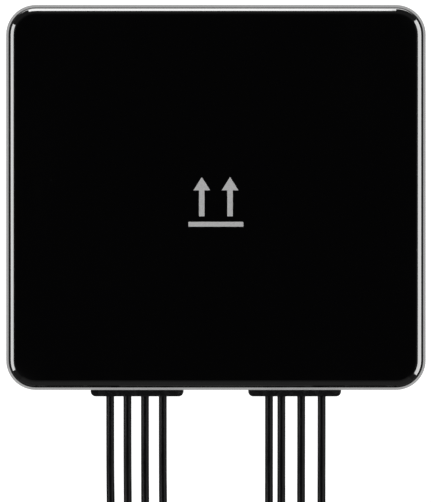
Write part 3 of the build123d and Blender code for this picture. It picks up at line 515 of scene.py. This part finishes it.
def make_leads():
    """All eight leads, numbered from the left. The right four mirror the left four."""
    leads = []
    for run, tail, degrees in zip(LEFT_RUNS, LEFT_TAILS, EXIT_DEGREES):
        leads.append(run + coil_points(-1, run[-1][2], degrees) + tail)
    for gland_x, run, tail, degrees in zip(RIGHT_X, LEFT_RUNS[::-1], LEFT_TAILS[::-1], EXIT_DEGREES[::-1]):
        leads.append(mirrored(run, gland_x) + coil_points(1, run[-1][2], degrees) + mirrored(tail))
    return [lead_curve(f"lead_curve_{number}", points) for number, points in enumerate(leads, start=1)]


# ---- small mesh pieces ----
def new_mesh_piece(name, vertices, faces, material, smooth=True):
    """A mesh object in the shared frame, its vertices in metres."""
    mesh = bpy.data.meshes.new(name)
    mesh.from_pydata(vertices, [], faces)
    mesh.materials.append(material)
    for face in mesh.polygons:
        face.use_smooth = smooth
    mesh.validate()
    mesh.update()
    piece = bpy.data.objects.new(name, mesh)
    bpy.context.collection.objects.link(piece)
    return piece


def skin_loops(loops, closed_along, closed_round=True):
    """Faces that join loops of equal length, numbered as they are stacked."""
    size = len(loops[0])
    faces = []
    last = len(loops) if closed_along else len(loops) - 1
    for row in range(last):
        here = row * size
        there = (row + 1) % len(loops) * size
        for column in range(size if closed_round else size - 1):
            after = (column + 1) % size
            faces.append((here + column, here + after, there + after, there + column))
    if not closed_along:
        faces.append(tuple(range(size))[::-1])
        faces.append(tuple(last * size + column for column in range(size)))
    return faces


def plug_point(x, radius, angle, behind):
    """Point round a plug's own axis, this far behind the coupling nut's front face."""
    return ((x + radius * math.cos(angle)) * MM, (PLUG_FRONT + behind) * MM,
            (PLUG_Z + radius * math.sin(angle)) * MM)


# ---- heat-shrunk sleeves, measured back from the coupling nut's front face ----
SLEEVE_START = 10.2
SLEEVE_END = 21.0
SLEEVE_STEP_AT = 15.3
SLEEVE_STEP_LONG = 2.3
SLEEVE_ROLL = 0.3
SLEEVE_STEM_R = 2.12
SLEEVE_LEAD_R = 1.42
SLEEVE_WALL = 0.35
SLEEVE_PUCKER = 0.03
SLEEVE_STEPS = 26
SLEEVE_SIDES = 40


def sleeve_radius(behind):
    """Outside of a shrunk sleeve: over the stem, down a soft step and along the lead, its ends rolled."""
    stepped = eased((behind - SLEEVE_STEP_AT) / SLEEVE_STEP_LONG)
    radius = SLEEVE_STEM_R + (SLEEVE_LEAD_R - SLEEVE_STEM_R) * stepped
    to_end = min(behind - SLEEVE_START, SLEEVE_END - behind)
    rolled = max(0.0, 1 - to_end / SLEEVE_ROLL)
    return radius + SLEEVE_WALL * (1 - 0.45 * rolled * rolled)


def make_sleeve(number, x):
    """Heat-shrunk sleeve of one lead, with the slight puckers that shrinking leaves."""
    chance = random.Random(number)
    twist = chance.uniform(0, math.tau)
    loops = []
    inner = []
    for step in range(SLEEVE_STEPS + 1):
        behind = SLEEVE_START + (SLEEVE_END - SLEEVE_START) * step / SLEEVE_STEPS
        outer_loop = []
        inner_loop = []
        for corner in range(SLEEVE_SIDES):
            angle = math.tau * corner / SLEEVE_SIDES
            waved = math.sin(3 * angle + twist + behind) * math.sin(behind * 1.9 + twist)
            outside = sleeve_radius(behind) + SLEEVE_PUCKER * waved
            outer_loop.append(plug_point(x, outside, angle, behind))
            within = min(max(behind, SLEEVE_START + SLEEVE_ROLL), SLEEVE_END - SLEEVE_ROLL)
            inner_loop.append(plug_point(x, sleeve_radius(within) - SLEEVE_WALL, angle, behind))
        loops.append(outer_loop)
        inner.append(inner_loop)
    loops += inner[::-1]
    points = [point for loop in loops for point in loop]
    colour = SLEEVE_COLOURS[number - 1]
    sleeve = new_mesh_piece(f"sleeve_{number}", points, skin_loops(loops, True), colour)
    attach(sleeve, "root")
    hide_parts("lead_sleeves")
    return sleeve


# ---- threads inside the coupling nuts ----
THREAD_PITCH = 0.706
THREAD_ROOT_R = 2.86
THREAD_CREST_R = 2.66
THREAD_FROM = 0.45
THREAD_TO = 3.7
THREAD_ROOT_HALF = 0.3
THREAD_CREST_HALF = 0.05
THREAD_SIDES = 36
THREAD_FADE_STEPS = 12


def make_thread(number, x):
    """Internal thread of one coupling nut: a ridge that winds in from the mouth and fades at its ends."""
    turns = (THREAD_TO - THREAD_FROM) / THREAD_PITCH
    steps = round(turns * THREAD_SIDES)
    loops = []
    for step in range(steps + 1):
        angle = math.tau * turns * step / steps
        behind = THREAD_FROM + (THREAD_TO - THREAD_FROM) * step / steps
        fade = min(1.0, step / THREAD_FADE_STEPS, (steps - step) / THREAD_FADE_STEPS)
        crest = THREAD_ROOT_R - (THREAD_ROOT_R - THREAD_CREST_R) * fade
        loops.append([
            plug_point(x, THREAD_ROOT_R, angle, behind - THREAD_ROOT_HALF),
            plug_point(x, crest, angle, behind - THREAD_CREST_HALF),
            plug_point(x, crest, angle, behind + THREAD_CREST_HALF),
            plug_point(x, THREAD_ROOT_R, angle, behind + THREAD_ROOT_HALF),
        ])
    points = [point for loop in loops for point in loop]
    thread = new_mesh_piece(f"nut_thread_{number}", points, skin_loops(loops, False), NICKEL)
    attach(thread, f"nut_{number}")
    return thread


# ---- straps round the coils ----
TIE_DEGREES = [80, 165, 250]
TIE_WIDTH = 9.0
TIE_THICK = 0.5
TIE_TAB = 11.0
TIE_TAB_FROM = 4.0
TIE_TAB_PARTS = 16
TIE_CLEAR = 0.33
TIE_CORNER = 1.6
TIE_CORNER_PARTS = 6
TIE_STEP = 0.7
TIE_DIP = 0.1
TIE_EDGE = 0.2
COIL_LOW = 0.6
COIL_TALL = 23.1


def coil_reach(degrees):
    """Inside and outside of the coil at this angle round it, over the turns of every lead."""
    share = degrees / 360
    last_share = max(EXIT_DEGREES) / 360
    outside = TURN_R - PITCH * min(share, 1 - share)
    inside = TURN_R - PITCH * max(WHOLE_TURNS - 1 + share, WHOLE_TURNS + last_share - share)
    return inside - LEAD_DIAMETER / MM / 2, outside + LEAD_DIAMETER / MM / 2


def strap_line(inner_r, outer_r, low, high):
    """Middle line of a strap round the coil's section: a rounded rectangle that dips between the leads."""
    line = []
    corners = [(outer_r, low, -90), (outer_r, high, 0), (inner_r, high, 90), (inner_r, low, 180)]
    for index, (radius, height, first) in enumerate(corners):
        toward_middle = -1 if radius == outer_r else 1
        up = -1 if height == high else 1
        middle_r = radius + toward_middle * TIE_CORNER
        middle_z = height + up * TIE_CORNER
        for part in range(TIE_CORNER_PARTS + 1):
            turned = math.radians(first + 90 * part / TIE_CORNER_PARTS)
            line.append((middle_r + TIE_CORNER * math.cos(turned), middle_z + TIE_CORNER * math.sin(turned)))
        after = corners[(index + 1) % len(corners)]
        vertical = radius == after[0]
        start = line[-1]
        span = abs(after[1] - height) if vertical else abs(after[0] - radius)
        span -= 2 * TIE_CORNER
        if vertical:
            direction = (0, 1 if after[1] > height else -1)
        else:
            direction = (1 if after[0] > radius else -1, 0)
        pieces = round(span / TIE_STEP)
        for part in range(1, pieces):
            along = span * part / pieces
            dip = TIE_DIP * math.sin(math.pi * along / PITCH) ** 2
            line.append((start[0] + direction[0] * along - direction[1] * dip,
                         start[1] + direction[1] * along + direction[0] * dip))
    return line


def strap_loops(line, side, degrees, closed):
    """Rounded flat section of the strap at each point of its middle line."""
    turned = math.radians(degrees)
    outward = (-side * math.cos(turned), math.sin(turned))
    across = (-outward[1], outward[0])
    half = TIE_WIDTH / 2
    thick = TIE_THICK / 2
    section = [(-half, 0), (-half + TIE_EDGE, thick), (0, thick), (half - TIE_EDGE, thick),
               (half, 0), (half - TIE_EDGE, -thick), (0, -thick), (-half + TIE_EDGE, -thick)]
    loops = []
    for index, (radius, height) in enumerate(line):
        before = line[index - 1] if closed or index else line[0]
        after = line[(index + 1) % len(line)] if closed or index + 1 < len(line) else line[-1]
        run = (after[0] - before[0], after[1] - before[1])
        size = math.hypot(*run)
        normal = (run[1] / size, -run[0] / size)
        loop = []
        for width, lift in section:
            reach = radius + normal[0] * lift
            loop.append(((side * COIL_X + outward[0] * reach + across[0] * width) * MM,
                         (COIL_Y + outward[1] * reach + across[1] * width) * MM,
                         (height + normal[1] * lift) * MM))
        loops.append(loop)
    return loops


def make_strap(side, degrees):
    """One hook-and-loop strap: its closed turn, and the free end pressed down on top."""
    name = f"strap_{'left' if side < 0 else 'right'}_{degrees}"
    inside, outside = coil_reach(degrees)
    inner_r = inside - TIE_CLEAR
    outer_r = outside + TIE_CLEAR
    high = COIL_LOW + COIL_TALL + TIE_CLEAR
    loops = strap_loops(strap_line(inner_r, outer_r, COIL_LOW - TIE_CLEAR, high), side, degrees, True)
    faces = skin_loops(loops, True)
    free_end = []
    for part in range(TIE_TAB_PARTS + 1):
        along = TIE_TAB * part / TIE_TAB_PARTS
        lift = TIE_THICK * (0.98 + 0.5 * (along / TIE_TAB) ** 4)
        free_end.append((outer_r - TIE_TAB_FROM - along, high + lift))
    tab_loops = strap_loops(free_end[::-1], side, degrees, False)
    offset = sum(len(loop) for loop in loops)
    faces += [tuple(corner + offset for corner in face) for face in skin_loops(tab_loops, False)]
    points = [point for loop in loops + tab_loops for point in loop]
    strap = new_mesh_piece(name, points, faces, TIE_TAPE)
    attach(strap, "root")
    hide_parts("left_coil_ties" if side < 0 else "right_coil_ties")
    return strap


# ---- mark on the cover: two arrows up over a bar ----
MARK_Y = -1.5
MARK_HALF = 8.6
MARK_HEIGHT = 0.012
BAR_HALF = 9.5
BAR_THICK = 1.7
ARROW_X = 4.9
ARROW_LIFT = 3.6
SHAFT_HALF = 0.95
HEAD_HALF = 2.9
HEAD_LONG = 4.6


def arrow_outline(x, low, high):
    """An upright arrow's outline."""
    neck = high - HEAD_LONG
    return [(x - SHAFT_HALF, low), (x + SHAFT_HALF, low), (x + SHAFT_HALF, neck), (x + HEAD_HALF, neck),
            (x, high), (x - HEAD_HALF, neck), (x - SHAFT_HALF, neck)]


def make_mark():
    """This way up: a printed mark that says which face looks to the sky."""
    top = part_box("top_cover")[1][2] / MM
    low = MARK_Y - MARK_HALF
    bar_top = low + BAR_THICK
    outlines = [[(-BAR_HALF, low), (BAR_HALF, low), (BAR_HALF, bar_top), (-BAR_HALF, bar_top)]]
    for side in SIDES:
        outlines.append(arrow_outline(side * ARROW_X, low + ARROW_LIFT, MARK_Y + MARK_HALF))
    points = []
    faces = []
    for outline in outlines:
        first = len(points)
        size = len(outline)
        for height in (top, top + MARK_HEIGHT):
            points += [(x * MM, y * MM, height * MM) for x, y in outline]
        faces.append(tuple(first + size + corner for corner in range(size)))
        for corner in range(size):
            after = (corner + 1) % size
            faces.append((first + corner, first + after, first + size + after, first + size + corner))
    mark = new_mesh_piece("this_way_up_mark", points, faces, pad_print(), smooth=False)
    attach(mark, "root")


# ---- foam pad ----
PAD_CORNER = 12.0
PAD_DRAWN_IN = 0.18
PAD_RAGGED = 0.0005
PAD_STEP = 1.2
PAD_LEVELS = 6


def rounded_outline(width, length, corner, parts=14):
    """Points round a rounded rectangle about the origin, counter-clockwise from its right side."""
    points = []
    for x_side, y_side, first in ((1, 1, 0), (-1, 1, 90), (-1, -1, 180), (1, -1, 270)):
        for part in range(parts + 1):
            turned = math.radians(first + 90 * part / parts)
            points.append((x_side * (width / 2 - corner) + corner * math.cos(turned),
                           y_side * (length / 2 - corner) + corner * math.sin(turned)))
    return points


def make_pad():
    """Foam pad: a die-cut slab whose edge is drawn in at mid height and a little ragged."""
    low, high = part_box("adhesive_pad")
    width = (high[0] - low[0]) / MM
    length = (high[1] - low[1]) / MM
    chance = random.Random(11)
    loops = []
    for level in range(PAD_LEVELS + 1):
        share = level / PAD_LEVELS
        drawn = PAD_DRAWN_IN * math.sin(math.pi * share)
        height = low[2] + (high[2] - low[2]) * share
        outline = rounded_outline(width - 2 * drawn, length - 2 * drawn, PAD_CORNER - drawn)
        fine = []
        for (x, y), (next_x, next_y) in zip(outline, outline[1:] + outline[:1]):
            pieces = max(1, round(math.hypot(next_x - x, next_y - y) / PAD_STEP))
            for part in range(pieces):
                shrunk = 1 + (chance.uniform(-PAD_RAGGED, 0.0) if 0 < level < PAD_LEVELS else 0.0)
                along = part / pieces
                fine.append(((x + (next_x - x) * along) * shrunk * MM,
                             (y + (next_y - y) * along) * shrunk * MM, height))
        loops.append(fine)
    points = [point for loop in loops for point in loop]
    pad = new_mesh_piece("foam_pad", points, skin_loops(loops, False), FOAM, smooth=False)
    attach(pad, "root")
    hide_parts("adhesive_pad")


# ---- every piece, in the order in which they are made ----
BLACK_SLEEVE = SLOT_LOOKS["shrink_sleeve"]
WHITE_SLEEVE = shrunk_tube("sleeve_white", (0.6, 0.6, 0.57))
BLUE_SLEEVE = shrunk_tube("sleeve_blue", (0.02, 0.09, 0.3))
SLEEVE_COLOURS = [
    BLACK_SLEEVE, BLACK_SLEEVE, WHITE_SLEEVE, BLUE_SLEEVE,
    WHITE_SLEEVE, WHITE_SLEEVE, BLACK_SLEEVE, BLACK_SLEEVE,
]

paint_cad_nodes()
make_mark()
make_pad()
LEADS = make_leads()
SLEEVES = [make_sleeve(number, x) for number, x in enumerate(PLUG_X, start=1)]
THREADS = [make_thread(number, x) for number, x in enumerate(PLUG_X, start=1)]
STRAPS = {side: [make_strap(side, degrees) for degrees in TIE_DEGREES] for side in SIDES}
for number, lead in enumerate(LEADS, start=1):
    coil = "left_coil" if number <= len(LEFT_RUNS) else "right_coil"
    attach(lead, "root")
    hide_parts(f"lead_{number}", coil)


# ---- camera, stage and lights ----
PICTURE_HEIGHT = 0.1751
FLOOR_LOW = -0.0002
FLOOR_GLOW = 1.15
FLAG_LOW = -0.0001
FLAG_NEAR = 0.1
FLAG_FAR = 0.6
FENCE_FOOT = 20.05
FENCE_TALL = 300.0
FENCE_LEAN = 2.1
FENCE_WIDTH = 138.75
FENCE_LENGTH = 126.75
FENCE_CORNER = 6.9
BOX_AWAY = 0.6
SIDE_RADIANCE = 15
BACK_RADIANCE = 20
STRIP_RADIANCE = 10
HOUSING_GAIN = 1.0
LEAD_GAIN = 1.25
LEAD_RIGHT_SHARE = 0.5
SOFT_GAIN = 0.22
CEILING_RADIANCE = 3.4


def add_camera():
    """Straight above the housing, with a long lens that frames 150 mm from left to right."""
    data = bpy.data.cameras.new("camera")
    camera = bpy.data.objects.new("camera", data)
    bpy.context.collection.objects.link(camera)
    eye = Vector((-0.00014, 0.008, 3.0))
    target = Vector((-0.00014, -0.0187, 0))
    data.sensor_fit = "AUTO"
    data.sensor_width = 36
    data.lens = data.sensor_width * (eye - target).length / PICTURE_HEIGHT
    data.clip_start = 0.1
    camera.location = eye
    gaze = target - eye
    camera.rotation_euler = (math.atan2(gaze.y, -gaze.z), 0, 0)
    bpy.context.scene.camera = camera


def add_panel(name, middle, facing, width, height, radiance, receivers=None):
    """Soft light panel, hidden from the camera, that shows in the receivers' gloss or else lights evenly."""
    data = bpy.data.lights.new(name, "AREA")
    data.shape = "RECTANGLE"
    data.size = width
    data.size_y = height
    data.energy = radiance * math.pi * width * height
    panel = bpy.data.objects.new(name, data)
    bpy.context.collection.objects.link(panel)
    panel.location = middle
    panel.rotation_euler = Vector(facing).to_track_quat("-Z", "Y").to_euler()
    panel.visible_camera = False
    panel.visible_glossy = receivers is not None
    panel.visible_diffuse = receivers is None
    if receivers is not None:
        panel.light_linking.receiver_collection = receivers


def add_stage():
    """Plain white floor that glows a little, so that the leads and housing cast almost no shadow."""
    material, tree, shader = new_material("stage_white", (0.06, 0.06, 0.06), 0.9, specular=0.0)
    shader.inputs["Emission Color"].default_value = (1, 1, 1, 1)
    shader.inputs["Emission Strength"].default_value = FLOOR_GLOW
    half = 12.0
    corners = [(-half, -half, FLOOR_LOW), (half, -half, FLOOR_LOW),
               (half, half, FLOOR_LOW), (-half, half, FLOOR_LOW)]
    floor = new_mesh_piece("stage_floor", corners, [(0, 1, 2, 3)], material, smooth=False)


def add_reflected_cards(name, points, faces, material):
    """Stage cards that show only in reflections."""
    cards = new_mesh_piece(name, points, faces, material, smooth=False)
    cards.visible_camera = False
    cards.visible_diffuse = False
    cards.visible_shadow = False


def add_flags():
    """Dark cards laid left, right and in front."""
    material = new_material("flag_grey", (0.2, 0.2, 0.2), 0.9, specular=0.0)[0]
    edges = [(-FLAG_FAR, -FLAG_NEAR, -FLAG_FAR, FLAG_FAR), (FLAG_NEAR, FLAG_FAR, -FLAG_FAR, FLAG_FAR),
             (-FLAG_NEAR, FLAG_NEAR, -FLAG_FAR, -FLAG_NEAR)]
    points = []
    for left, right, front, back in edges:
        points += [(left, front, FLAG_LOW), (right, front, FLAG_LOW),
                   (right, back, FLAG_LOW), (left, back, FLAG_LOW)]
    faces = [tuple(range(4 * card, 4 * card + 4)) for card in range(len(edges))]
    add_reflected_cards("stage_flags", points, faces, material)


def add_fence():
    """Dim grey fence that stands round the flat top and leans out.

    In low views the top reflects it, and not the bright boxes. From straight above it doesn't show.
    """
    material, tree, shader = new_material("fence_grey", (0, 0, 0), 0.9, specular=0.0)
    shader.inputs["Emission Color"].default_value = (1, 1, 1, 1)
    glow = spread(tree, upward(tree, place(tree)), 0.02, 0.2, 0.3, 0.1)
    link(tree, glow, shader.inputs["Emission Strength"])
    leans = FENCE_TALL * math.tan(math.radians(FENCE_LEAN))
    loops = []
    for out, height in ((0.0, FENCE_FOOT), (leans, FENCE_FOOT + FENCE_TALL)):
        outline = rounded_outline(FENCE_WIDTH + 2 * out, FENCE_LENGTH + 2 * out, FENCE_CORNER + out)
        loops.append([(x * MM, y * MM, height * MM) for x, y in outline])
    points = [point for loop in loops for point in loop]
    walls = skin_loops(loops, False)[:-2]
    add_reflected_cards("stage_fence", points, walls, material)


def add_world():
    """Dim studio, darkest straight above."""
    world = bpy.data.worlds.new("studio")
    bpy.context.scene.world = world
    world.use_nodes = True
    tree = world.node_tree
    background = tree.nodes["Background"]
    coordinates = tree.nodes.new("ShaderNodeTexCoord")
    rise = upward(tree, coordinates.outputs["Generated"])
    link(tree, spread(tree, rise, 0.88, 1.0, 0.2, 0.005), background.inputs["Color"])


def receiver_group(name, pieces):
    """A collection that names what some panels light, and isn't part of the scene."""
    group = bpy.data.collections.new(name)
    for piece in pieces:
        group.objects.link(piece)
    return group


def add_reflected_panels(receivers, gain, right_share=1.0):
    """Boxes left, right and behind, a low strip behind and dim cards between them."""
    side_boxes = [(-1, 0.61, 0.12, 0.8, SIDE_RADIANCE), (1, 0.9, 0.08, 1.04, SIDE_RADIANCE * right_share)]
    for side, width, low, high, radiance in side_boxes:
        middle = (side * BOX_AWAY, 0, (low + high) / 2)
        add_panel("side_box", middle, (-side, 0, 0), width, high - low, radiance * gain, receivers)
    add_panel("back_box", (-0.078, BOX_AWAY, 0.175), (0, -1, 0), 0.305, 0.35, BACK_RADIANCE * gain, receivers)
    add_panel("back_strip", (0, 0.37, 0.0005), (0, 0, 1), 0.3, 0.42, STRIP_RADIANCE * gain, receivers)
    add_panel("left_card", (-BOX_AWAY, 0, 1.15), (1, 0, 0), 0.61, 0.7, 0.2 * gain, receivers)
    add_panel("right_card", (0.25, 0, 0.92), (-1, 0, 0), 0.3, 0.75, 0.15 * gain, receivers)
    add_panel("front_card", (0, -0.35, 1.45), (0, 1, 0), 0.6, 2.9, 0.12 * gain, receivers)


def light_studio():
    """Strong panels for the housing and leads, softer ones for the rest, and a ceiling that lights evenly.

    The leads don't show in reflections, or they would break the pale line above the glands.
    """
    housing = [frame["nodes"][name] for name in ("top_cover", "left_gland", "right_gland")]
    others = [piece for piece in bpy.context.scene.objects
              if piece.type in ("MESH", "CURVE") and piece not in housing + LEADS]
    for lead in LEADS:
        lead.visible_glossy = False
    add_reflected_panels(receiver_group("housing", housing), HOUSING_GAIN)
    add_reflected_panels(receiver_group("leads", LEADS), LEAD_GAIN, LEAD_RIGHT_SHARE)
    add_reflected_panels(receiver_group("other_pieces", others), SOFT_GAIN)
    add_panel("ceiling", (-0.5, -0.3, 2.2), (0.2, 0.1, -1), 2.4, 2.4, CEILING_RADIANCE)


add_camera()
add_stage()
add_flags()
add_fence()
add_world()
light_studio()
bpy.context.scene.view_settings.view_transform = "Standard"

SHARED_PLUG_PIECES = ["contact_pins", "insulators", "retaining_rings"]
for number, lead in enumerate(LEADS, start=1):
    on_left = number <= len(LEFT_RUNS)
    on_lead = [f"plug_body_{number}", f"coupling_nut_{number}", SLEEVES[number - 1], THREADS[number - 1]]
    if number == 1:
        on_lead += SHARED_PLUG_PIECES
    if number in (1, len(LEADS)):
        on_lead += STRAPS[-1 if on_left else 1]
